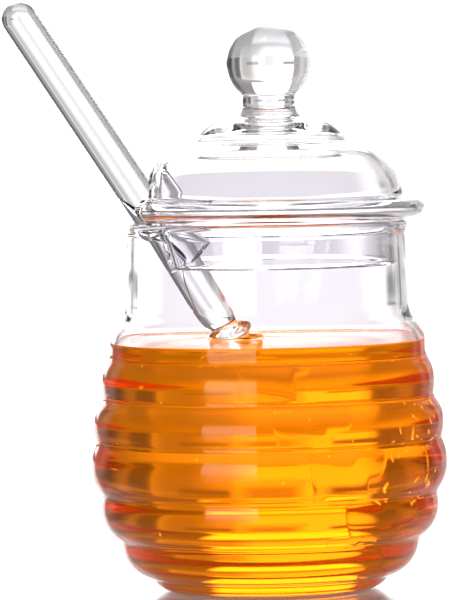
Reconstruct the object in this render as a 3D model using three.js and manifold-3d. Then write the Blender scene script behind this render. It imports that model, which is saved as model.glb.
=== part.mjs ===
// A glass honey pot: a ribbed jar filled with honey, a domed lid with a ball knob, and a glass honey dipper
// that leans through a dent pressed into the side of the lid.
// Millimetres, +Z up. The origin is the middle of the base, and the dipper leans in the plane Y = 0 towards -X.
import * as THREE from "three";
import { mergeVertices } from "three/addons/utils/BufferGeometryUtils.js";
import Module from "manifold-3d";

const wasm = await Module();
wasm.setup();

// Jar: radius and height of each crease between the ribs, foot first, and how far each rib swells past its chord
const BASE_RADIUS = 24.0;
const CREASES = [
  [28.6, 3.0],
  [35.8, 12.0],
  [40.1, 22.9],
  [41.35, 35.9],
  [39.55, 46.1],
  [37.95, 56.0],
];
const RIB_SWELL = [2.05, 2.15, 2.1, 1.6, 1.2];
const FOOT_SWELL = 0.7;
const SHOULDER_BOTTOM = 59.0;
const SHOULDER_TOP = 68.1;
const NECK_BOTTOM_RADIUS = 33.95;
const NECK_TOP_RADIUS = 33.4;
const RIM_TOP = 88.2;
const RIM_BEAD = 0.55;
const WALL = 1.85;
const FLOOR_THICKNESS = 3.0;
const INNER_SWELL = 0.75; // the inside of each rib is shallower than the outside

// Honey
const HONEY_LEVEL = 58.7;
const MOUND_HEIGHT = 1.6;
const MOUND_SPREAD = 1.5;
const FIT_GAP = 0.3;

// Lid, which sits a little off the jar's axis, pushed over by the dipper
const LID_SHIFT = 1.3;
const KNOB_RADIUS = 10.0;
const KNOB_HALF_HEIGHT = 9.55;
const KNOB_MIDDLE = 126.0;
const KNOB_NECK_RADIUS = 6.2;
const KNOB_NECK_HEIGHT = 116.8;
const CAP_TOP = 112.8;
const STEP_RADIUS = 18.9;
const STEP_HEIGHT = 107.1;
const DOME_FOOT_RADIUS = 31.9;
const DOME_FOOT_HEIGHT = 94.1;
const FLANGE_RADIUS = 36.9;
const FLANGE_TIP_HEIGHT = 91.2;
const FLANGE_TOP = 93.3;
const FLANGE_BOTTOM = 88.5;
const COLLAR_RADIUS = 30.0;
const COLLAR_BOTTOM = 77.4;
const LID_WALL = 1.7;

// Dipper
const DIPPER_LENGTH = 161;
const DIPPER_RADIUS = 4.2;
const DIPPER_LEAN = THREE.MathUtils.degToRad(32.8);
const DIPPER_TIP = new THREE.Vector3(26.88, 0, 5.8);
const HEAD_RINGS = 12;
const HEAD_PITCH = 5.4;
const HEAD_RING_RADIUS = 5.7;
const HEAD_GROOVE_RADIUS = 3.4;
const HEAD_START = 3.9;

// Dent in the lid: a rounded V in plan, parallel to the dipper
const DENT_CLEARANCE = 9.0;
const DENT_ROUNDING = 5.0;
const DENT_BLEND = 3.0;
const DENT_WALL = 2.3;
const COLLAR_LIFT = 5.9; // how far the collar's edge rises where it is pressed in
const COLLAR_LIFT_REACH = 15;

// Facets
const JAR_SEGMENTS = 40;
const LID_SEGMENTS = 50;
const DIPPER_SEGMENTS = 16;
const LID_CROWDING = 0.45; // moves the lid's facets towards the dent, where the shape is finest

const point = (radius, height) => new THREE.Vector2(radius, height);

// An arc through two points that swells by the given height to the right of the way from a to b
function arc(a, b, swell, steps) {
  const chord = b.clone().sub(a);
  const half = chord.length() / 2;
  const side = new THREE.Vector2(chord.y, -chord.x).normalize();
  const radius = (half * half + swell * swell) / (2 * Math.abs(swell));
  const middle = a.clone().add(b).multiplyScalar(0.5);
  const centre = middle.addScaledVector(side, Math.sign(swell) * (Math.abs(swell) - radius));
  const reach = Math.asin(Math.min(1, half / radius));
  const along = chord.clone().normalize();
  const points = [];
  for (let i = 1; i <= steps; i++) {
    const angle = -reach + (2 * reach * i) / steps;
    points.push(
      centre
        .clone()
        .addScaledVector(along, radius * Math.sin(angle))
        .addScaledVector(side, Math.sign(swell) * radius * Math.cos(angle)),
    );
  }
  return points;
}

function bezier(a, b, c, d, steps) {
  return new THREE.CubicBezierCurve(a, b, c, d).getPoints(steps).slice(1);
}

// Part of an ellipse, from one angle to another, both measured from the outward horizontal
function ellipse(radius, height, halfWidth, halfHeight, from, to, steps) {
  const points = [];
  for (let i = 0; i <= steps; i++) {
    const angle = from + ((to - from) * i) / steps;
    points.push(point(radius + halfWidth * Math.cos(angle), height + halfHeight * Math.sin(angle)));
  }
  return points;
}

// Turns a profile of radius and height about Z
function revolve(profile, segments) {
  return new THREE.LatheGeometry(profile, segments).rotateX(Math.PI / 2);
}

function ribs(creases, swells, steps) {
  const points = [creases[0]];
  swells.forEach((swell, i) => points.push(...arc(creases[i], creases[i + 1], swell, steps)));
  return points;
}

// The jar's outer creases moved in by the wall, square to the line between their neighbours
function innerCreases(depth) {
  const outer = CREASES.map(([radius, height]) => point(radius, height));
  return outer.map((crease, i) => {
    const before = outer[Math.max(i - 1, 0)];
    const after = outer[Math.min(i + 1, outer.length - 1)];
    const along = after.clone().sub(before).normalize();
    return crease.clone().add(point(-along.y, along.x).multiplyScalar(depth));
  });
}

const innerRibs = (depth, steps) =>
  ribs(
    innerCreases(depth),
    RIB_SWELL.map((swell) => swell * INNER_SWELL),
    steps,
  );

function shoulder(bottomRadius, topRadius, steps) {
  const rise = SHOULDER_TOP - SHOULDER_BOTTOM;
  return bezier(
    point(bottomRadius, SHOULDER_BOTTOM),
    point(bottomRadius, SHOULDER_BOTTOM + 0.41 * rise),
    point(topRadius, SHOULDER_TOP - 0.44 * rise),
    point(topRadius, SHOULDER_TOP),
    steps,
  );
}

function jarOutside() {
  const creases = CREASES.map(([radius, height]) => point(radius, height));
  const cylinder = creases.at(-1).x;
  return [
    point(0, 0),
    point(BASE_RADIUS, 0),
    ...arc(point(BASE_RADIUS, 0), creases[0], FOOT_SWELL, 3).slice(0, -1),
    ...ribs(creases, RIB_SWELL, 4),
    point(cylinder, SHOULDER_BOTTOM),
    ...shoulder(cylinder, NECK_BOTTOM_RADIUS, 5),
    point(NECK_TOP_RADIUS, RIM_TOP - 3.6),
  ];
}

function jarRim() {
  const inside = NECK_TOP_RADIUS - WALL;
  const outside = NECK_TOP_RADIUS + RIM_BEAD;
  const middle = (inside + outside) / 2;
  const halfWidth = (outside - inside) / 2;
  return ellipse(middle, RIM_TOP - halfWidth, halfWidth, halfWidth, -0.5, Math.PI, 6);
}

function jarInside() {
  const climb = innerRibs(WALL, 2);
  const cylinder = climb.at(-1).x;
  const rising = [
    point(0, FLOOR_THICKNESS),
    point(BASE_RADIUS - 1, FLOOR_THICKNESS),
    ...climb,
    point(cylinder, SHOULDER_BOTTOM),
    ...shoulder(cylinder, NECK_BOTTOM_RADIUS - WALL, 4),
  ];
  return rising.reverse();
}

function jar() {
  return revolve([...jarOutside(), ...jarRim(), ...jarInside()], JAR_SEGMENTS);
}

// The dipper's profile from its tip up to the end of the handle, grown by the given gap
function dipperProfile(gap) {
  const points = [point(0, -gap), point(2.6, 0.5 - gap), point(4.2 + gap, 2)];
  for (let ring = 0; ring < HEAD_RINGS; ring++) {
    const bottom = HEAD_START + ring * HEAD_PITCH;
    points.push(
      point(HEAD_GROOVE_RADIUS + gap, bottom),
      point(HEAD_RING_RADIUS - 0.6 + gap, bottom + 0.26 * HEAD_PITCH - gap / 2),
      point(HEAD_RING_RADIUS + gap, bottom + 0.5 * HEAD_PITCH),
      point(HEAD_RING_RADIUS - 0.6 + gap, bottom + 0.74 * HEAD_PITCH + gap / 2),
    );
  }
  const headTop = HEAD_START + HEAD_RINGS * HEAD_PITCH;
  const capMiddle = DIPPER_LENGTH - DIPPER_RADIUS;
  const cap = DIPPER_RADIUS + gap;
  return [
    ...points,
    point(HEAD_GROOVE_RADIUS + gap, headTop),
    point(DIPPER_RADIUS - 0.3 + gap, headTop + 2.2),
    point(DIPPER_RADIUS + gap, headTop + 6),
    ...ellipse(0, capMiddle, cap, cap, 0, Math.PI / 2, 4),
  ];
}

function placeDipper(object) {
  object.position.copy(DIPPER_TIP);
  object.rotation.y = -DIPPER_LEAN;
  object.updateMatrixWorld(true);
  return object;
}

function solid(geometry, matrix = new THREE.Matrix4()) {
  const bare = new THREE.BufferGeometry().setIndex(geometry.index);
  bare.setAttribute("position", geometry.getAttribute("position").clone());
  const merged = mergeVertices(bare.applyMatrix4(matrix), 1e-4);
  return new wasm.Manifold(
    new wasm.Mesh({
      numProp: 3,
      vertProperties: new Float32Array(merged.attributes.position.array),
      triVerts: new Uint32Array(merged.index.array),
    }),
  );
}

function surface(manifold) {
  const mesh = manifold.getMesh();
  const geometry = new THREE.BufferGeometry();
  geometry.setAttribute("position", new THREE.BufferAttribute(mesh.vertProperties, 3));
  geometry.setIndex(new THREE.BufferAttribute(mesh.triVerts, 1));
  geometry.computeVertexNormals();
  return geometry;
}

// How far along +X the dipper's centre line has come at a height
function dipperAxisX(height) {
  return DIPPER_TIP.x - (height - DIPPER_TIP.z) * Math.tan(DIPPER_LEAN);
}

// Honey climbs a little way up the dipper: a cone sheared to the dipper's lean
function mound() {
  const reach = HEAD_RING_RADIUS / Math.cos(DIPPER_LEAN);
  const sunk = 1;
  const cone = revolve(
    [
      point(0, -sunk),
      point(reach + MOUND_SPREAD, -sunk),
      point(reach + MOUND_SPREAD, 0),
      point(reach + 0.35 * MOUND_SPREAD, 0.4 * MOUND_HEIGHT),
      point(reach + 0.1 * MOUND_SPREAD, MOUND_HEIGHT),
      point(0, MOUND_HEIGHT),
    ],
    20,
  );
  const lean = -Math.tan(DIPPER_LEAN);
  const shear = new THREE.Matrix4().makeShear(0, 0, 0, 0, lean, 0);
  shear.setPosition(dipperAxisX(HONEY_LEVEL), 0, HONEY_LEVEL);
  return solid(cone, shear);
}

function honey() {
  const climb = innerRibs(WALL + FIT_GAP, 2);
  const side = climb.at(-1).x;
  const body = revolve(
    [
      point(0, FLOOR_THICKNESS + FIT_GAP),
      point(BASE_RADIUS - 1, FLOOR_THICKNESS + FIT_GAP),
      ...climb,
      point(side, HONEY_LEVEL),
      point(0, HONEY_LEVEL),
    ],
    JAR_SEGMENTS,
  );
  const cutter = placeDipper(new THREE.Mesh(revolve(dipperProfile(FIT_GAP), DIPPER_SEGMENTS)));
  return surface(solid(body).add(mound()).subtract(solid(cutter.geometry, cutter.matrixWorld)));
}

function dipper() {
  return revolve(dipperProfile(0), DIPPER_SEGMENTS);
}

// From the top of the knob down the outside of the lid to the bottom of the collar
function lidOutside() {
  const neckAngle = -1.0;
  const cap = point(8.4, CAP_TOP);
  return [
    ...ellipse(0, KNOB_MIDDLE, KNOB_RADIUS, KNOB_HALF_HEIGHT, Math.PI / 2, neckAngle + 0.15, 8),
    point(KNOB_NECK_RADIUS, KNOB_NECK_HEIGHT),
    ...bezier(
      point(KNOB_NECK_RADIUS, KNOB_NECK_HEIGHT),
      point(KNOB_NECK_RADIUS, KNOB_NECK_HEIGHT - 2),
      point(7, CAP_TOP + 0.4),
      cap,
      3,
    ),
    ...bezier(cap, point(14.6, CAP_TOP), point(16.4, STEP_HEIGHT + 2.9), point(STEP_RADIUS, STEP_HEIGHT), 4),
    ...bezier(
      point(STEP_RADIUS, STEP_HEIGHT),
      point(26.5, STEP_HEIGHT - 0.4),
      point(30.2, STEP_HEIGHT - 6),
      point(DOME_FOOT_RADIUS, DOME_FOOT_HEIGHT),
      6,
    ),
    ...bezier(
      point(DOME_FOOT_RADIUS + 1.2, FLANGE_TOP + 0.1),
      point(FLANGE_RADIUS - 1.5, FLANGE_TOP + 0.1),
      point(FLANGE_RADIUS, FLANGE_TIP_HEIGHT + 1.4),
      point(FLANGE_RADIUS, FLANGE_TIP_HEIGHT),
      3,
    ),
    ...bezier(
      point(FLANGE_RADIUS, FLANGE_TIP_HEIGHT),
      point(FLANGE_RADIUS, FLANGE_TIP_HEIGHT - 1.6),
      point(FLANGE_RADIUS - 2, FLANGE_BOTTOM),
      point(FLANGE_RADIUS - 4, FLANGE_BOTTOM),
      3,
    ),
    point(COLLAR_RADIUS, FLANGE_BOTTOM),
    ...ellipse(COLLAR_RADIUS - LID_WALL / 2, COLLAR_BOTTOM + LID_WALL / 2, LID_WALL / 2, LID_WALL / 2, 0, -Math.PI / 2, 2),
  ];
}

// From the bottom of the collar up the inside of the lid, into the hollow of the flange, to the axis
function lidInside() {
  const inside = COLLAR_RADIUS - LID_WALL;
  const hollowTip = FLANGE_RADIUS - 1.5;
  return [
    point(inside, COLLAR_BOTTOM + LID_WALL / 2),
    point(inside, FLANGE_BOTTOM + 0.9),
    point(inside + 1.2, FLANGE_BOTTOM + 1.5),
    point(hollowTip - 1.5, FLANGE_BOTTOM + 1.7),
    point(hollowTip, FLANGE_TIP_HEIGHT - 0.1),
    point(hollowTip - 1.5, FLANGE_TOP - 1.4),
    point(DOME_FOOT_RADIUS - 0.6, FLANGE_TOP - 1.3),
    ...bezier(
      point(DOME_FOOT_RADIUS - LID_WALL, FLANGE_TOP + 0.2),
      point(28.6, STEP_HEIGHT - 6.6),
      point(25.2, STEP_HEIGHT - 1.9),
      point(STEP_RADIUS - 1.1, STEP_HEIGHT - 1.5),
      4,
    ),
    ...bezier(
      point(STEP_RADIUS - 1.1, STEP_HEIGHT - 1.5),
      point(15.6, STEP_HEIGHT + 2.2),
      point(13.6, CAP_TOP - 1.6),
      point(0, CAP_TOP - 1.7),
      4,
    ),
  ];
}

// The larger of two values, rounded over where they come within the blend of each other
function softMax(a, b, blend) {
  const close = Math.max(blend - Math.abs(a - b), 0) / blend;
  return Math.max(a, b) + (close * close * blend) / 4;
}

// The collar's edge rises in the dent, and the rest of the lid keeps its height
function liftedHeight(x, y, z) {
  if (x > 0 || z > FLANGE_BOTTOM) return z;
  const share = (FLANGE_BOTTOM - z) / (FLANGE_BOTTOM - COLLAR_BOTTOM);
  const fade = Math.max(0, 1 - (y / COLLAR_LIFT_REACH) ** 2) ** 2;
  return z + COLLAR_LIFT * fade * share;
}

// Presses the side of the lid in, along +X, so that it clears the leaning dipper
function pressDent(geometry, innerCount, profileCount) {
  const positions = geometry.getAttribute("position");
  for (let i = 0; i < positions.count; i++) {
    const radius = Math.hypot(positions.getX(i), positions.getY(i));
    let angle = Math.atan2(positions.getY(i), positions.getX(i));
    angle += LID_CROWDING * Math.sin(angle);
    const x = radius * Math.cos(angle);
    const y = radius * Math.sin(angle);
    const z = liftedHeight(x, y, positions.getZ(i));
    const wall = i % profileCount < innerCount ? DENT_WALL : 0;
    const rounded = Math.hypot(y, DENT_ROUNDING) - DENT_ROUNDING;
    const dent = dipperAxisX(z) - LID_SHIFT + DENT_CLEARANCE + wall - rounded;
    const pressed = x < 0 ? softMax(x, dent, DENT_BLEND) : x;
    positions.setXYZ(i, pressed, y, z);
  }
  geometry.computeVertexNormals();
  return geometry;
}

function lid() {
  const inside = lidInside().reverse();
  const profile = [...inside, ...lidOutside().reverse()];
  return pressDent(revolve(profile, LID_SEGMENTS), inside.length, profile.length);
}

const glass = (colour) => new THREE.MeshStandardMaterial({ color: colour, roughness: 0.03, metalness: 0 });
const amber = new THREE.MeshStandardMaterial({ color: 0xe88a0c, roughness: 0.08, metalness: 0 });

function node(name, geometry, material) {
  const mesh = new THREE.Mesh(geometry, material);
  mesh.name = name;
  return mesh;
}

const pot = new THREE.Group();
pot.add(node("jar", jar(), glass(0xe9eef0)));
pot.add(node("honey", honey(), amber));
pot.add(placeDipper(node("dipper", dipper(), glass(0xeef2f4))));
const lidGroup = new THREE.Group();
lidGroup.position.x = LID_SHIFT;
lidGroup.add(node("lid", lid(), glass(0xe9eef0)));
pot.add(lidGroup);

export default pot;
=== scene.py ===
"""The glass honey pot: ribbed jar, honey, domed lid with a dent for the dipper, and the glass dipper itself.
Metres, +Z up. The helpers work in millimetres and the meshes are scaled down when they are made."""

import math
import random

import bmesh
import bpy
from mathutils import Matrix, Vector


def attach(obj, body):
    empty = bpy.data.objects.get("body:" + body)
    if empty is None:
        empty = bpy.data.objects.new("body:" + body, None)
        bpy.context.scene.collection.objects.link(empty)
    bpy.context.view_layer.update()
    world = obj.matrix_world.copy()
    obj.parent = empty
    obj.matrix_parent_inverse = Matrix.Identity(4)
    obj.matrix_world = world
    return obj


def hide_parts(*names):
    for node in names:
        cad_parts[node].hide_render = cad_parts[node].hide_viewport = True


MM = 0.001
DEGREES = 180 / math.pi

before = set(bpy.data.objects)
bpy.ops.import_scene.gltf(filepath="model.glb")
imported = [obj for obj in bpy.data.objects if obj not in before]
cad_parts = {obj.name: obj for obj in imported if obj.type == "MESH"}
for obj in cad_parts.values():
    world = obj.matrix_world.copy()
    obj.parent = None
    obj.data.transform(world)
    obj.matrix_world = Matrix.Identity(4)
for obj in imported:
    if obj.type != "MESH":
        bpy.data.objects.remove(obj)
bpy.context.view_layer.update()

# Jar, in millimetres: radius and height of each crease, foot first, and the swell of each rib between them
BASE_RADIUS = 24.0
FOOT_SWELL = 0.7
CREASES = [(28.6, 3.0), (35.8, 12.0), (40.1, 22.9), (41.35, 35.9), (39.55, 46.1), (37.95, 56.0)]
RIB_SWELL = [2.05, 2.15, 2.1, 1.6, 1.2]
SHOULDER_BOTTOM = 59.0
SHOULDER_TOP = 68.1
NECK_BOTTOM_RADIUS = 33.95
NECK_TOP_RADIUS = 33.4
RIM_TOP = 88.2
RIM_BEAD = 0.55
RIM_BEAD_HEIGHT = 3.6
WALL = 1.85
JAR_TRIM = 0.9994  # keeps the smooth mesh inside the solid's facets
FLOOR_THICKNESS = 3.0
INNER_FLOOR = [(BASE_RADIUS - 4, FLOOR_THICKNESS), (BASE_RADIUS - 1, FLOOR_THICKNESS)]
INNER_SWELL = 0.75

# Honey
HONEY_LEVEL = 58.7
HONEY_SINK = 0.12  # how far the honey reaches into the glass round it
MENISCUS_WALL = 0.7
MENISCUS_WALL_REACH = 0.8
MENISCUS_DIPPER = 0.6
MENISCUS_DIPPER_REACH = 1.2
DIPPER_OVERLAP = 0.03  # how far the surface reaches into the dipper, as a share of the dipper's radius

# Lid
LID_SHIFT = 1.3
KNOB_RADIUS = 10.0
KNOB_HALF_HEIGHT = 9.55
KNOB_MIDDLE = 126.0
KNOB_NECK_RADIUS = 6.2
KNOB_NECK_HEIGHT = 116.8
CAP_TOP = 112.8
STEP_RADIUS = 18.9
STEP_HEIGHT = 107.1
DOME_FOOT_RADIUS = 31.9
DOME_FOOT_HEIGHT = 94.1
FLANGE_RADIUS = 36.9
FLANGE_TIP_HEIGHT = 91.2
FLANGE_TOP = 93.3
FLANGE_BOTTOM = 88.5
COLLAR_RADIUS = 30.0
COLLAR_BOTTOM = 77.4
LID_WALL = 1.7

# Dent in the lid
DENT_CLEARANCE = 9.0
DENT_ROUNDING = 5.0
DENT_BLEND = 3.0
DENT_WALL = 2.3
COLLAR_LIFT = 5.9
COLLAR_LIFT_REACH = 15
LID_CROWDING = 0.45

# Dipper
DIPPER_LENGTH = 160.92  # 0.08 mm under the solid's, so that the smooth end stays inside its box
DIPPER_RADIUS = 4.2
DIPPER_LEAN = math.radians(32.8)
DIPPER_TIP = (26.88, 0, 5.8)
HEAD_RINGS = 12
HEAD_PITCH = 5.4
HEAD_RING_RADIUS = 5.7
HEAD_RING_CROWN = 0.12
HEAD_RING_ROUNDING = 0.55
HEAD_GROOVE_RADIUS = 3.4
HEAD_START = 3.9
HEAD_TIP_RADIUS = 4.2
HEAD_TIP_HALF_HEIGHT = 3.4
SUNK_DROP = 0.15  # how far the sunk piece's top lies under the cut of the upper piece

# Bubbles in the honey: small round ones all over, and a patch of larger, drawn-out ones on the right
BUBBLE_SEED = 7
BUBBLE_COUNT = 70
BUBBLE_SIZE = (0.12, 0.3)
BUBBLE_TOP = HONEY_LEVEL - 1.5
BUBBLE_SPREAD = 20
BUBBLE_LOWEST = 8
BUBBLE_REACH = 34.0
BUBBLE_REACH_LOW = 27.0
BUBBLE_LOW_HEIGHT = 20
BUBBLE_CLEARANCE = 9
PATCH_COUNT = 42
PATCH_HEIGHT = (21, 44)
PATCH_MIDDLE = 32
PATCH_ANGLE = (12, 44)
PATCH_SLANT = 0.5
PATCH_REACH = 36.0
PATCH_SIZE = (0.24, 0.5)
PATCH_STRETCH = (1, 3.2)
BUBBLE_TURN = 1.2

# Mesh fineness, in segments round the axis
JAR_SEGMENTS = 192
LID_SEGMENTS = 288
DIPPER_SEGMENTS = 64


# Profiles


def arc(a, b, swell, steps):
    """Points after a up to b, on an arc that swells to the right of the way from a to b."""
    a, b = Vector(a), Vector(b)
    chord = b - a
    half = chord.length / 2
    side = Vector((chord.y, -chord.x)).normalized()
    radius = (half * half + swell * swell) / (2 * abs(swell))
    sign = math.copysign(1, swell)
    centre = (a + b) / 2 + side * sign * (abs(swell) - radius)
    reach = math.asin(min(1, half / radius))
    along = chord.normalized()
    points = []
    for i in range(1, steps + 1):
        angle = -reach + 2 * reach * i / steps
        points.append(centre + along * radius * math.sin(angle) + side * sign * radius * math.cos(angle))
    return [(p.x, p.y) for p in points]


def bezier(a, b, c, d, steps):
    points = []
    for i in range(1, steps + 1):
        t = i / steps
        w = ((1 - t) ** 3, 3 * t * (1 - t) ** 2, 3 * t * t * (1 - t), t**3)
        points.append(tuple(w[0] * a[k] + w[1] * b[k] + w[2] * c[k] + w[3] * d[k] for k in (0, 1)))
    return points


def ellipse(radius, height, half_width, half_height, start, end, steps):
    points = []
    for i in range(steps + 1):
        angle = start + (end - start) * i / steps
        points.append((radius + half_width * math.cos(angle), height + half_height * math.sin(angle)))
    return points


def resample(points, spacing):
    """The same line with evenly spaced points."""
    lengths = [0.0]
    for a, b in zip(points, points[1:]):
        lengths.append(lengths[-1] + math.dist(a, b))
    count = max(2, round(lengths[-1] / spacing))
    result, j = [], 0
    for i in range(count + 1):
        s = lengths[-1] * i / count
        while j < len(points) - 2 and lengths[j + 1] < s:
            j += 1
        t = (s - lengths[j]) / max(lengths[j + 1] - lengths[j], 1e-9)
        result.append(tuple(points[j][k] + (points[j + 1][k] - points[j][k]) * t for k in (0, 1)))
    return result


def point_or_mirrored(line, index):
    """The line's point, or past either end the point mirrored through that end."""
    last = len(line) - 1
    end = min(max(index, 0), last)
    if index == end:
        return line[index]
    x, y = line[min(max(2 * end - index, 0), last)]
    return (2 * line[end][0] - x, 2 * line[end][1] - y)


def soften(points, spacing, width):
    """Rounds the line's corners over about the given width, as melted glass is. Its ends stay."""
    line = resample(points, spacing)
    reach = max(1, math.ceil(2.5 * width / spacing))
    weights = [math.exp(-0.5 * (k * spacing / width) ** 2) for k in range(-reach, reach + 1)]
    result = []
    for i in range(len(line)):
        total, x, y = 0.0, 0.0, 0.0
        for k, w in zip(range(-reach, reach + 1), weights):
            p = point_or_mirrored(line, i + k)
            total, x, y = total + w, x + w * p[0], y + w * p[1]
        result.append((x / total, y / total))
    return result


def ribs(creases, swells, steps):
    points = [tuple(creases[0])]
    for i, swell in enumerate(swells):
        points += arc(creases[i], creases[i + 1], swell, steps)
    return points


def inner_creases(depth):
    result = []
    for i, crease in enumerate(CREASES):
        before, after = Vector(CREASES[max(i - 1, 0)]), Vector(CREASES[min(i + 1, len(CREASES) - 1)])
        along = (after - before).normalized()
        result.append(tuple(Vector(crease) + Vector((-along.y, along.x)) * depth))
    return result


def inner_ribs(depth, steps=16):
    return ribs(inner_creases(depth), [s * INNER_SWELL for s in RIB_SWELL], steps)


def shoulder(bottom, top, steps=20):
    rise = SHOULDER_TOP - SHOULDER_BOTTOM
    return bezier(
        (bottom, SHOULDER_BOTTOM),
        (bottom, SHOULDER_BOTTOM + 0.41 * rise),
        (top, SHOULDER_TOP - 0.44 * rise),
        (top, SHOULDER_TOP),
        steps,
    )


def jar_profile():
    outside = arc((BASE_RADIUS, 0), CREASES[0], FOOT_SWELL, 8)[:-1] + ribs(CREASES, RIB_SWELL, 16)
    outside = [(BASE_RADIUS, 0)] + outside + [(CREASES[-1][0], SHOULDER_BOTTOM)]
    outside += shoulder(CREASES[-1][0], NECK_BOTTOM_RADIUS) + [(NECK_TOP_RADIUS, RIM_TOP - RIM_BEAD_HEIGHT)]
    rim_in, rim_out = NECK_TOP_RADIUS - WALL, NECK_TOP_RADIUS + RIM_BEAD
    half = (rim_out - rim_in) / 2
    rim = ellipse((rim_in + rim_out) / 2, RIM_TOP - half, half, half, -0.5, math.pi, 24)
    side = inner_ribs(WALL)
    inside = INNER_FLOOR + side
    inside += [(side[-1][0], SHOULDER_BOTTOM)] + shoulder(side[-1][0], NECK_BOTTOM_RADIUS - WALL)
    inside = soften(inside, 0.5, 0.9)
    outside = soften([(BASE_RADIUS - 1, 0)] + outside, 0.3, 0.75)
    outside = [(radius * JAR_TRIM, height) for radius, height in outside]
    return (
        [(0, 0), (BASE_RADIUS - 2, 0)]
        + outside
        + rim
        + inside[::-1]
        + [(0, FLOOR_THICKNESS)]
    )


def dipper_profile():
    half = HEAD_TIP_HALF_HEIGHT
    points = ellipse(0, half, HEAD_TIP_RADIUS, half, -math.pi / 2, -0.2, 10)
    for ring in range(HEAD_RINGS):
        bottom = HEAD_START + ring * HEAD_PITCH
        points.append((HEAD_GROOVE_RADIUS, bottom))
        points += [
            (HEAD_RING_RADIUS - HEAD_RING_ROUNDING, bottom + 0.24 * HEAD_PITCH),
            (HEAD_RING_RADIUS + HEAD_RING_CROWN, bottom + 0.4 * HEAD_PITCH),
            (HEAD_RING_RADIUS + HEAD_RING_CROWN, bottom + 0.6 * HEAD_PITCH),
            (HEAD_RING_RADIUS - HEAD_RING_ROUNDING, bottom + 0.76 * HEAD_PITCH),
        ]
    head_top = HEAD_START + HEAD_RINGS * HEAD_PITCH
    points += [(HEAD_GROOVE_RADIUS - 0.1, head_top)]
    points += [(DIPPER_RADIUS - 0.35, head_top + 1.6), (DIPPER_RADIUS, head_top + 5)]
    points += ellipse(0, DIPPER_LENGTH - DIPPER_RADIUS, DIPPER_RADIUS, DIPPER_RADIUS, 0, math.pi / 2, 16)
    line = soften(points, 0.3, 0.45)
    line[0], line[-1] = (0, line[0][1]), (0, line[-1][1])
    return line


def offset(line, distance):
    """The line moved sideways, outwards from the axis for a positive distance."""
    result = []
    for i, p in enumerate(line):
        a, b = line[max(i - 1, 0)], line[min(i + 1, len(line) - 1)]
        t = Vector((b[0] - a[0], b[1] - a[1])).normalized()
        result.append((max(0, p[0] + t.y * distance), p[1] - t.x * distance))
    result[0], result[-1] = (0, result[0][1]), (0, result[-1][1])
    return result


def lid_outside():
    cap = (8.4, CAP_TOP)
    points = ellipse(0, KNOB_MIDDLE, KNOB_RADIUS, KNOB_HALF_HEIGHT, math.pi / 2, -0.88, 48)
    points += bezier(points[-1], (6.3, 118.6), (6.2, 118.0), (KNOB_NECK_RADIUS, KNOB_NECK_HEIGHT), 6)
    points += bezier(
        (KNOB_NECK_RADIUS, KNOB_NECK_HEIGHT),
        (KNOB_NECK_RADIUS, KNOB_NECK_HEIGHT - 2),
        (7, CAP_TOP + 0.4),
        cap,
        10,
    )
    points += bezier(cap, (14.6, CAP_TOP), (16.4, STEP_HEIGHT + 2.9), (STEP_RADIUS, STEP_HEIGHT), 14)
    points += bezier(
        (STEP_RADIUS, STEP_HEIGHT),
        (26.5, STEP_HEIGHT - 0.4),
        (30.2, STEP_HEIGHT - 6),
        (DOME_FOOT_RADIUS, DOME_FOOT_HEIGHT),
        20,
    )
    points += bezier(
        (DOME_FOOT_RADIUS + 1.2, FLANGE_TOP + 0.1),
        (FLANGE_RADIUS - 1.5, FLANGE_TOP + 0.1),
        (FLANGE_RADIUS, FLANGE_TIP_HEIGHT + 1.4),
        (FLANGE_RADIUS, FLANGE_TIP_HEIGHT),
        10,
    )
    points += bezier(
        (FLANGE_RADIUS, FLANGE_TIP_HEIGHT),
        (FLANGE_RADIUS, FLANGE_TIP_HEIGHT - 1.6),
        (FLANGE_RADIUS - 2, FLANGE_BOTTOM),
        (FLANGE_RADIUS - 4, FLANGE_BOTTOM),
        10,
    )
    points += [(COLLAR_RADIUS, FLANGE_BOTTOM)]
    half = LID_WALL / 2
    points += ellipse(COLLAR_RADIUS - half, COLLAR_BOTTOM + half, half, half, 0, -math.pi / 2, 6)
    return points


def lid_inside():
    inside = COLLAR_RADIUS - LID_WALL
    tip = FLANGE_RADIUS - 1.5
    points = [
        (inside, COLLAR_BOTTOM + LID_WALL / 2),
        (inside, FLANGE_BOTTOM + 0.9),
        (inside + 1.2, FLANGE_BOTTOM + 1.5),
        (tip - 1.5, FLANGE_BOTTOM + 1.7),
        (tip, FLANGE_TIP_HEIGHT - 0.1),
        (tip - 1.5, FLANGE_TOP - 1.4),
        (DOME_FOOT_RADIUS - 0.6, FLANGE_TOP - 1.3),
    ]
    points += bezier(
        (DOME_FOOT_RADIUS - LID_WALL, FLANGE_TOP + 0.2),
        (28.6, STEP_HEIGHT - 6.6),
        (25.2, STEP_HEIGHT - 1.9),
        (STEP_RADIUS - 1.1, STEP_HEIGHT - 1.5),
        16,
    )
    points += bezier(
        (STEP_RADIUS - 1.1, STEP_HEIGHT - 1.5),
        (15.6, STEP_HEIGHT + 2.2),
        (13.6, CAP_TOP - 1.6),
        (0, CAP_TOP - 1.7),
        14,
    )
    return points


# Meshes


def mesh_piece(name, vertices, faces):
    mesh = bpy.data.meshes.new(name)
    mesh.from_pydata([Vector(v) * MM for v in vertices], [], faces)
    mesh.validate()
    piece = bpy.data.objects.new(name, mesh)
    bpy.context.scene.collection.objects.link(piece)
    bm = bmesh.new()
    bm.from_mesh(mesh)
    bmesh.ops.recalc_face_normals(bm, faces=bm.faces)
    bm.to_mesh(mesh)
    bm.free()
    for polygon in mesh.polygons:
        polygon.use_smooth = True
    return piece


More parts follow.
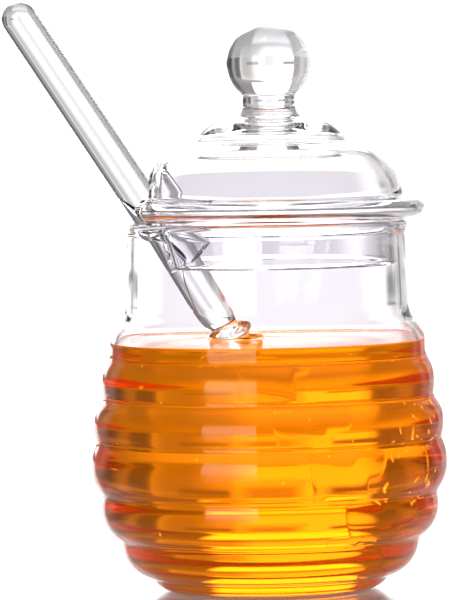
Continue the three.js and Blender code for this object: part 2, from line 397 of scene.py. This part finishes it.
def revolve(profile, segments, crowding=0.0):
    """Vertices and faces of the profile turned about Z. Points on the axis are shared."""
    vertices, faces, rings = [], [], []
    for radius, height in profile:
        if radius < 1e-6:
            rings.append([len(vertices)] * segments)
            vertices.append((0, 0, height))
            continue
        start = len(vertices)
        for i in range(segments):
            angle = 2 * math.pi * i / segments
            angle += crowding * math.sin(angle)
            vertices.append((radius * math.cos(angle), radius * math.sin(angle), height))
        rings.append(list(range(start, start + segments)))
    for lower, upper in zip(rings, rings[1:]):
        for i in range(segments):
            j = (i + 1) % segments
            quad = [lower[i], lower[j], upper[j], upper[i]]
            face = [v for k, v in enumerate(quad) if v != quad[k - 1]]
            if len(face) > 2:
                faces.append(face)
    return vertices, faces


def dipper_axis_x(height):
    return DIPPER_TIP[0] - (height - DIPPER_TIP[2]) * math.tan(DIPPER_LEAN)


def soft_max(a, b, blend):
    close = max(blend - abs(a - b), 0) / blend
    return max(a, b) + close * close * blend / 4


def press_dent(vertices, inner):
    """Presses the lid's side in so that it clears the leaning dipper."""
    result = []
    for (x, y, z), wall in zip(vertices, inner):
        if x < 0 and z < FLANGE_BOTTOM:
            share = (FLANGE_BOTTOM - z) / (FLANGE_BOTTOM - COLLAR_BOTTOM)
            fade = max(0, 1 - (y / COLLAR_LIFT_REACH) ** 2) ** 2
            z += COLLAR_LIFT * fade * share
        rounded = math.hypot(y, DENT_ROUNDING) - DENT_ROUNDING
        dent = dipper_axis_x(z) - LID_SHIFT + DENT_CLEARANCE + wall - rounded
        if x < 0:
            x = soft_max(x, dent, DENT_BLEND)
        result.append((x + LID_SHIFT, y, z))
    return result


def make_jar():
    return mesh_piece("jar_glass", *revolve(jar_profile(), JAR_SEGMENTS))


def make_lid():
    outside = soften(lid_outside(), 0.3, 0.35)
    inside = soften(lid_inside(), 0.4, 0.6)
    outside[0], inside[-1] = (0, outside[0][1]), (0, inside[-1][1])
    profile = outside + inside
    vertices, faces = revolve(profile, LID_SEGMENTS, LID_CROWDING)
    inner = []
    for i, (radius, _) in enumerate(profile):
        inner += [DENT_WALL if i >= len(outside) else 0.0] * (1 if radius < 1e-6 else LID_SEGMENTS)
    return mesh_piece("lid_glass", press_dent(vertices, inner), faces)


def lean(vertices):
    turn = Matrix.Rotation(-DIPPER_LEAN, 4, "Y")
    tip = Vector(DIPPER_TIP)
    return [tuple(turn @ Vector(v) + tip) for v in vertices]


def make_dipper(above):
    """The dipper in two pieces that meet just under the honey's surface: what shows, and what is sunk."""
    vertices, faces = revolve(dipper_profile(), DIPPER_SEGMENTS)
    piece = mesh_piece("dipper_glass" if above else "dipper_sunk", lean(vertices), faces)
    bm = bmesh.new()
    bm.from_mesh(piece.data)
    cut = Vector((0, 0, (HONEY_LEVEL - HONEY_SINK - (0 if above else SUNK_DROP)) * MM))
    edges = bmesh.ops.bisect_plane(
        bm,
        geom=bm.verts[:] + bm.edges[:] + bm.faces[:],
        plane_co=cut,
        plane_no=(0, 0, 1),
        clear_inner=above,
        clear_outer=not above,
    )["geom_cut"]
    cap = bmesh.ops.contextual_create(bm, geom=[e for e in edges if isinstance(e, bmesh.types.BMEdge)])
    bmesh.ops.recalc_face_normals(bm, faces=bm.faces)
    for face in cap["faces"]:
        face.smooth = False
        for edge in face.edges:
            edge.smooth = False
    bm.to_mesh(piece.data)
    bm.free()
    return piece


def dipper_radius_at(along):
    """The dipper's radius at a distance from its tip."""
    line = dipper_profile()
    for (r0, s0), (r1, s1) in zip(line, line[1:]):
        if s0 <= along <= s1:
            return r0 + (r1 - r0) * (along - s0) / max(s1 - s0, 1e-9)
    return DIPPER_RADIUS


def dipper_outline(height, count):
    """Where the dipper's surface crosses a level, as points round its axis."""
    centre = dipper_axis_x(height)
    middle = (height - DIPPER_TIP[2]) / math.cos(DIPPER_LEAN)
    lean_sin, lean_cos = math.sin(DIPPER_LEAN), math.cos(DIPPER_LEAN)
    points = []
    for i in range(count):
        angle = 2 * math.pi * i / count
        reach = HEAD_RING_RADIUS
        for _ in range(12):
            shift = reach * math.cos(angle)
            radius = dipper_radius_at(middle - shift * lean_sin)
            goal = radius / math.hypot(math.cos(angle) * lean_cos, math.sin(angle))
            reach += 0.5 * (goal - reach)
        points.append((centre + reach * math.cos(angle), reach * math.sin(angle)))
    return points


def honey_side():
    """The honey's outline from the middle of its underside up to its rim, a little way into the glass."""
    rim_height = HONEY_LEVEL + MENISCUS_WALL
    side = INNER_FLOOR + inner_ribs(WALL) + [(inner_creases(WALL)[-1][0], rim_height)]
    side = offset([(0, FLOOR_THICKNESS)] + soften(side, 0.5, 0.9), HONEY_SINK)[:-1]
    return side + [(side[-1][0], rim_height)]


def surface_point(share, dipper_point, wall_point, centre):
    """A point of the honey's top, at a share of the way out from the dipper, or inside it below 0."""
    (x0, y0), (x1, y1) = dipper_point, wall_point
    if share < 0:
        return x0 + (x0 - centre) * share, y0 * (1 + share), HONEY_LEVEL
    x, y = x0 + (x1 - x0) * share, y0 + (y1 - y0) * share
    from_wall = math.hypot(x1 - x, y1 - y)
    from_dipper = math.hypot(x - x0, y - y0)
    height = HONEY_LEVEL + MENISCUS_WALL * math.exp(-from_wall / MENISCUS_WALL_REACH)
    height += MENISCUS_DIPPER * math.exp(-from_dipper / MENISCUS_DIPPER_REACH)
    if share == 0:
        x, y = x0 + (centre - x0) * DIPPER_OVERLAP, y0 * (1 - DIPPER_OVERLAP)
    return x, y, height


def make_honey():
    """The honey's side is turned, and its top is a mesh of loops from the glass to the dipper's outline."""
    side = honey_side()
    rim = side[-1][0]
    segments = JAR_SEGMENTS
    vertices, faces = revolve(side, segments)
    outline = dipper_outline(HONEY_LEVEL, segments)
    centre = dipper_axis_x(HONEY_LEVEL)
    last = list(range(len(vertices) - segments, len(vertices)))
    # closest together at the glass and at the dipper, where the surface curls up
    loops = [1 - (i / 28) ** 1.6 for i in range(1, 15)]
    loops += [0.5 * (1 - (i / 30)) ** 1.5 for i in range(8, 31)]
    inside_dipper = [-0.06, -0.5]
    for share in loops + inside_dipper:
        start = len(vertices)
        for i, dipper_point in enumerate(outline):
            angle = 2 * math.pi * i / segments
            wall_point = (rim * math.cos(angle), rim * math.sin(angle))
            vertices.append(surface_point(share, dipper_point, wall_point, centre))
        loop = list(range(start, start + segments))
        for i in range(segments):
            j = (i + 1) % segments
            faces.append([last[i], last[j], loop[j], loop[i]])
        last = loop
    vertices.append((centre, 0, HONEY_LEVEL))
    faces += [[last[i], last[(i + 1) % segments], len(vertices) - 1] for i in range(segments)]
    return mesh_piece("honey_amber", vertices, faces)


def make_bubbles():
    """Tiny air bubbles caught in the honey, and the patch of larger ones on the right."""
    rng = random.Random(BUBBLE_SEED)
    bubbles = []
    for _ in range(BUBBLE_COUNT):
        height = BUBBLE_TOP - abs(rng.gauss(0, BUBBLE_SPREAD))
        if height < BUBBLE_LOWEST:
            continue
        angle = rng.uniform(0, 2 * math.pi)
        reach = BUBBLE_REACH if height > BUBBLE_LOW_HEIGHT else BUBBLE_REACH_LOW
        out = reach * math.sqrt(rng.uniform(0.45, 1))
        centre = Vector((out * math.cos(angle), out * math.sin(angle), height))
        axis = Vector((dipper_axis_x(height), 0, height))
        if (centre - axis).length < BUBBLE_CLEARANCE:
            continue
        bubbles.append((centre, Vector((1, 1, 1)) * rng.uniform(*BUBBLE_SIZE)))
    for _ in range(PATCH_COUNT):
        height = rng.uniform(*PATCH_HEIGHT)
        angle = math.radians(-rng.uniform(*PATCH_ANGLE) + (height - PATCH_MIDDLE) * PATCH_SLANT)
        centre = Vector((PATCH_REACH * math.cos(angle), PATCH_REACH * math.sin(angle), height))
        size = rng.uniform(*PATCH_SIZE)
        bubbles.append((centre, Vector((size, size, size * rng.uniform(*PATCH_STRETCH)))))
    vertices, faces = [], []
    for centre, scale in bubbles:
        turn = Matrix.Rotation(rng.uniform(-BUBBLE_TURN, BUBBLE_TURN), 3, "X")
        turn = turn @ Matrix.Rotation(rng.uniform(-BUBBLE_TURN, BUBBLE_TURN), 3, "Y")
        bubble = bmesh.new()
        bmesh.ops.create_icosphere(bubble, subdivisions=2, radius=1)
        start = len(vertices)
        vertices += [tuple(turn @ (v.co * scale) + centre) for v in bubble.verts]
        faces += [[start + v.index for v in f.verts] for f in bubble.faces]
        bubble.free()
    return mesh_piece("honey_bubbles", vertices, faces)


# Materials


GLASS_IOR = 1.47
HONEY_IOR = 1.49
BUBBLE_IOR = 0.8
JAR_TINT = (0.965, 0.955, 0.972)
LID_TINT = (0.91, 0.9, 0.92)
ROD_TINT = (0.86, 0.855, 0.87)
SUNK_TINT = (0.93, 0.925, 0.94)
HONEY_TINT = (0.985, 0.455, 0.03)
# painted glow: amber light the honey gives off at every surface, standing in for light scattered inside it
HONEY_PAINTED_GLOW = (0.056, 0.02, 0)
HONEY_ROUGHNESS = 0.07
HONEY_ABSORPTION = (0.953, 0.74, 0.0)
HONEY_DENSITY = 40.0
BUBBLE_GLINT = (1.0, 0.58, 0.1)
BUBBLE_GLINT_STRENGTH = 0.45


def glass_material(name, ior, tint, bump=0.0, scale=1.0, shine=1.0):
    """Clear glass. Bump is its waves' depth in metres, and shine is how much it mirrors straight on."""
    material = bpy.data.materials.new(name)
    material.use_nodes = True
    nodes, links = material.node_tree.nodes, material.node_tree.links
    shader = nodes["Principled BSDF"]
    shader.inputs["Base Color"].default_value = (*tint, 1)
    shader.inputs["Roughness"].default_value = 0.0
    shader.inputs["IOR"].default_value = ior
    shader.inputs["Transmission Weight"].default_value = 1.0
    shader.inputs["Specular Tint"].default_value = (shine, shine, shine, 1)
    if bump:
        coordinates = nodes.new("ShaderNodeTexCoord")
        noise = nodes.new("ShaderNodeTexNoise")
        noise.inputs["Scale"].default_value = scale
        noise.inputs["Detail"].default_value = 1.0
        height = nodes.new("ShaderNodeBump")
        height.inputs["Strength"].default_value = 1.0
        height.inputs["Distance"].default_value = bump
        links.new(coordinates.outputs["Object"], noise.inputs["Vector"])
        links.new(noise.outputs["Fac"], height.inputs["Height"])
        links.new(height.outputs["Normal"], shader.inputs["Normal"])
    return material


def honey_material():
    material = glass_material("honey_amber", HONEY_IOR, HONEY_TINT, 0.00002, 60, 0.02)
    nodes, links = material.node_tree.nodes, material.node_tree.links
    shader = nodes["Principled BSDF"]
    shader.inputs["Roughness"].default_value = HONEY_ROUGHNESS
    # painted glow: a faint amber light of the honey's own, standing in for light scattered by its haze
    shader.inputs["Emission Color"].default_value = (*HONEY_PAINTED_GLOW, 1)
    shader.inputs["Emission Strength"].default_value = 1.0
    absorption = nodes.new("ShaderNodeVolumeAbsorption")
    absorption.inputs["Color"].default_value = (*HONEY_ABSORPTION, 1)
    absorption.inputs["Density"].default_value = HONEY_DENSITY
    links.new(absorption.outputs["Volume"], nodes["Material Output"].inputs["Volume"])
    return material


def bubble_material():
    """The bubbles glint, so a little light of their own stands in for what they catch."""
    material = glass_material("air_bubble", BUBBLE_IOR, (1, 1, 1))
    shader = material.node_tree.nodes["Principled BSDF"]
    shader.inputs["Emission Color"].default_value = (*BUBBLE_GLINT, 1)
    shader.inputs["Emission Strength"].default_value = BUBBLE_GLINT_STRENGTH
    return material


def finish_piece(piece, material, slot, *replaced):
    piece.data.materials.clear()
    piece.data.materials.append(material)
    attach(piece, "root")
    if replaced:
        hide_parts(*replaced)


# World and stage


class Nodes:
    """Short ways to add maths nodes to a tree."""

    def __init__(self, tree):
        self.nodes, self.links = tree.nodes, tree.links

    def math(self, operation, *values):
        node = self.nodes.new("ShaderNodeMath")
        node.operation = operation
        for i, value in enumerate(values):
            if isinstance(value, (int, float)):
                node.inputs[i].default_value = value
            else:
                self.links.new(value, node.inputs[i])
        return node.outputs[0]

    def inverse(self, value):
        return self.math("SUBTRACT", 1.0, value)

    def azimuth(self, x, y):
        return self.math("MULTIPLY", self.math("ARCTAN2", x, y), DEGREES)

    def step(self, value, edge, soft):
        """0 below the edge and 1 above it, with a smooth rise over the soft width on both sides."""
        node = self.nodes.new("ShaderNodeMapRange")
        node.interpolation_type = "SMOOTHSTEP"
        self.links.new(value, node.inputs["Value"])
        node.inputs["From Min"].default_value = edge - soft
        node.inputs["From Max"].default_value = edge + soft
        return node.outputs["Result"]

    def band(self, value, low, high, soft):
        """1 between low and high, fading to 0 over the soft width outside."""
        return self.math("SUBTRACT", self.step(value, low, soft), self.step(value, high, soft))

    def mix(self, factor, a, b):
        node = self.nodes.new("ShaderNodeMix")
        node.data_type = "RGBA"
        self.links.new(factor, node.inputs["Factor"])
        for socket, value in ((node.inputs[6], a), (node.inputs[7], b)):
            if isinstance(value, tuple):
                socket.default_value = (*value, 1)
            else:
                self.links.new(value, socket)
        return node.outputs[2]


COOL = (0.97, 0.975, 1.03)
WARM = (1.03, 1.0, 0.95)
WALL_WARM = (1.05, 0.97, 0.9)
NEUTRAL = (1, 1, 1)
LILAC = (1.0, 0.98, 1.02)

# Areas painted on the sky one over the other. Each row holds azimuth from, to and soft edge, elevation
# from, to and soft edge, all in degrees, and then level and tint.
SKY_AREAS = [
    # light from above
    (-26, 17, 2, 20.5, 42, 2, 4.8, NEUTRAL),
    # the backdrop: bright left of the middle, duller to the right
    (-25.5, 30, 0.8, -90, 17, 0.8, 1.3, NEUTRAL),
    (-24.5, 6, 4, -90, 17, 4, 2.9, NEUTRAL),
    (14, 30, 6, -90, 17, 6, 0.64, WARM),
    # dark edges of the backdrop on both sides
    (-37, -27, 2, -90, 16, 2, 0.25, NEUTRAL),
    (31, 40, 2, -90, 16, 2, 0.2, NEUTRAL),
    # thin dark strips level with the pot: the grey lines down both edges of the neck
    (-35, -13, 1.3, -1.8, 1.9, 1.3, 0.3, NEUTRAL),
    (8.5, 21, 1.2, -1.6, 1.6, 1.2, 0.42, NEUTRAL),
    # what the camera sees straight through the clear glass
    (-6, 6, 2.5, -90, 4.5, 2, 1.08, LILAC),
    (-8, 8, 0.4, 2.8, 5.0, 0.4, 2.1, NEUTRAL),
    # front left window light: shows as pale patches on every rib
    (-171.5, -135, 0.5, -14, 22, 0.5, 6.0, NEUTRAL),
    (-171.5, -135, 0.8, 68, 86, 0.8, 5.0, NEUTRAL),
]


def shade(level, tint=NEUTRAL):
    return tuple(level * t for t in tint)


def make_world():
    """A studio painted on the sky. Azimuth is measured from +Y, which is behind the pot, towards +X."""
    world = bpy.data.worlds.new("studio")
    bpy.context.scene.world = world
    world.use_nodes = True
    world.node_tree.nodes.clear()
    kit = Nodes(world.node_tree)
    coordinates = kit.nodes.new("ShaderNodeTexCoord")
    split = kit.nodes.new("ShaderNodeSeparateXYZ")
    kit.links.new(coordinates.outputs["Generated"], split.inputs[0])
    x, y, z = split.outputs
    azimuth = kit.azimuth(x, y)
    elevation = kit.math("MULTIPLY", kit.math("ARCSINE", z), DEGREES)

    # the dark room in front, walls that are dark far out and warm grey behind the pot, and a grey ceiling
    far_sides = kit.mix(kit.band(azimuth, -105, 105, 8), shade(0.04), shade(0.05))
    walls = kit.mix(kit.band(azimuth, -105, 105, 8), shade(0.04), shade(0.46, WALL_WARM))
    walls = kit.mix(kit.band(azimuth, -48, 48, 5), far_sides, walls)
    ceiling = kit.mix(kit.band(azimuth, -115, 115, 10), shade(0.36, COOL), shade(0.1, COOL))
    ceiling = kit.mix(kit.band(azimuth, -42, 42, 6), ceiling, shade(0.36, COOL))
    colour = kit.mix(kit.step(elevation, 22, 6), walls, ceiling)
    for az_low, az_high, az_soft, el_low, el_high, el_soft, level, tint in SKY_AREAS:
        across = kit.band(azimuth, az_low, az_high, az_soft)
        up = kit.band(elevation, el_low, el_high, el_soft)
        colour = kit.mix(kit.math("MULTIPLY", across, up), colour, shade(level, tint))

    background = kit.nodes.new("ShaderNodeBackground")
    output = kit.nodes.new("ShaderNodeOutputWorld")
    kit.links.new(colour, background.inputs["Color"])
    kit.links.new(background.outputs[0], output.inputs["Surface"])


# Floor, in metres, and degrees of azimuth
FLOOR_RADIUS = 1.1
FLOOR_DROP = 0.0002
FLOOR_GREY = (0.32, 0.32, 0.32)
FLOOR_ROUGHNESS = 0.12
FOOT_RADIUS = 0.027
LIT_FROM_Y = -0.01
SIDE_AZIMUTH = 50
SIDE_RADIUS = 0.1
POOL_RADIUS = 0.12
POOL_AZIMUTH = (-34, 12)
GLOW_POOL = 1.3  # added to the glow near the foot
GLOW_NEAR = 0.5
GLOW_FAR = 0.3
GLOW_UNLIT = 0.06


def make_floor():
    """A pale glossy table that gives light behind the pot, and most of it in a pool by the foot."""
    place = (0, 0, -FLOOR_DROP)
    bpy.ops.mesh.primitive_circle_add(vertices=128, radius=FLOOR_RADIUS, fill_type="NGON", location=place)
    floor = bpy.context.object
    floor.name = "floor"
    material = bpy.data.materials.new("floor")
    material.use_nodes = True
    kit = Nodes(material.node_tree)
    shader = material.node_tree.nodes["Principled BSDF"]
    shader.inputs["Base Color"].default_value = (*FLOOR_GREY, 1)
    shader.inputs["Roughness"].default_value = FLOOR_ROUGHNESS
    coordinates = kit.nodes.new("ShaderNodeTexCoord")
    split = kit.nodes.new("ShaderNodeSeparateXYZ")
    kit.links.new(coordinates.outputs["Object"], split.inputs[0])
    length = kit.nodes.new("ShaderNodeVectorMath")
    length.operation = "LENGTH"
    kit.links.new(coordinates.outputs["Object"], length.inputs[0])
    distance = length.outputs["Value"]
    azimuth = kit.azimuth(split.outputs["X"], split.outputs["Y"])

    # lit behind the pot, except under the foot and far out to both sides, where the honey's edges would
    # mirror it as white
    beyond_foot = kit.step(distance, FOOT_RADIUS, 0.004)
    lit = kit.math("MULTIPLY", kit.step(split.outputs["Y"], LIT_FROM_Y, 0.02), beyond_foot)
    outside = kit.inverse(kit.band(azimuth, -SIDE_AZIMUTH, SIDE_AZIMUTH, 6))
    beside = kit.math("MULTIPLY", outside, kit.step(distance, SIDE_RADIUS, 0.015))
    lit = kit.math("MULTIPLY", lit, kit.inverse(beside))

    near = kit.inverse(kit.step(distance, POOL_RADIUS, 0.06))
    pool = kit.math("MULTIPLY", kit.band(azimuth, *POOL_AZIMUTH, 12), GLOW_POOL)
    level = kit.math("ADD", pool, GLOW_NEAR)
    glow = kit.math("ADD", kit.math("MULTIPLY", near, kit.math("SUBTRACT", level, GLOW_FAR)), GLOW_FAR)
    glow = kit.math("MULTIPLY", kit.math("SUBTRACT", glow, GLOW_UNLIT), lit)
    glow = kit.math("ADD", glow, GLOW_UNLIT)
    shader.inputs["Emission Color"].default_value = (1, 1, 1, 1)
    kit.links.new(glow, shader.inputs["Emission Strength"])
    floor.data.materials.append(material)


# Camera, in metres
CAMERA_PLACE = (-0.00993, -1.346, 0.127)
CAMERA_AIM = (-0.00993, 0, 0.0694)
CAMERA_ROLL = math.radians(-1.0)
CAMERA_LENS = 337.1
CAMERA_SENSOR = 36


def make_camera():
    data = bpy.data.cameras.new("camera")
    camera = bpy.data.objects.new("camera", data)
    bpy.context.scene.collection.objects.link(camera)
    data.sensor_width = CAMERA_SENSOR
    data.lens = CAMERA_LENS
    data.clip_start, data.clip_end = 0.05, 20
    camera.location = CAMERA_PLACE
    aim = Vector(CAMERA_AIM) - camera.location
    roll = Matrix.Rotation(CAMERA_ROLL, 4, "Z").to_quaternion()
    camera.rotation_mode = "QUATERNION"
    camera.rotation_quaternion = aim.to_track_quat("-Z", "Y") @ roll
    bpy.context.scene.camera = camera


make_camera()
clear_jar = glass_material("clear_glass", GLASS_IOR, JAR_TINT, 0.00004, 45, 0.35)
clear_lid = glass_material("lid_glass", GLASS_IOR, LID_TINT, 0.00003, 60, 0.8)
clear_rod = glass_material("rod_glass", GLASS_IOR, ROD_TINT, 0.00002, 80, 0.8)
# the sunk part of the rod meets honey and not air, so its index is the one relative to honey
sunk_rod = glass_material("sunk_glass", GLASS_IOR / HONEY_IOR, SUNK_TINT)
finish_piece(make_jar(), clear_jar, "jar_glass", "jar")
finish_piece(make_lid(), clear_lid, "lid_glass", "lid")
finish_piece(make_dipper(True), clear_rod, "dipper_glass", "dipper")
finish_piece(make_dipper(False), sunk_rod, "dipper_glass")
finish_piece(make_honey(), honey_material(), "honey", "honey")
finish_piece(make_bubbles(), bubble_material(), "honey")
make_world()
make_floor()

scene = bpy.context.scene
scene.view_settings.view_transform = "Standard"
scene.view_settings.look = "None"
scene.cycles.use_denoising = True
scene.cycles.max_bounces = 32
scene.cycles.transmission_bounces = 32
scene.cycles.glossy_bounces = 12
scene.cycles.transparent_max_bounces = 16
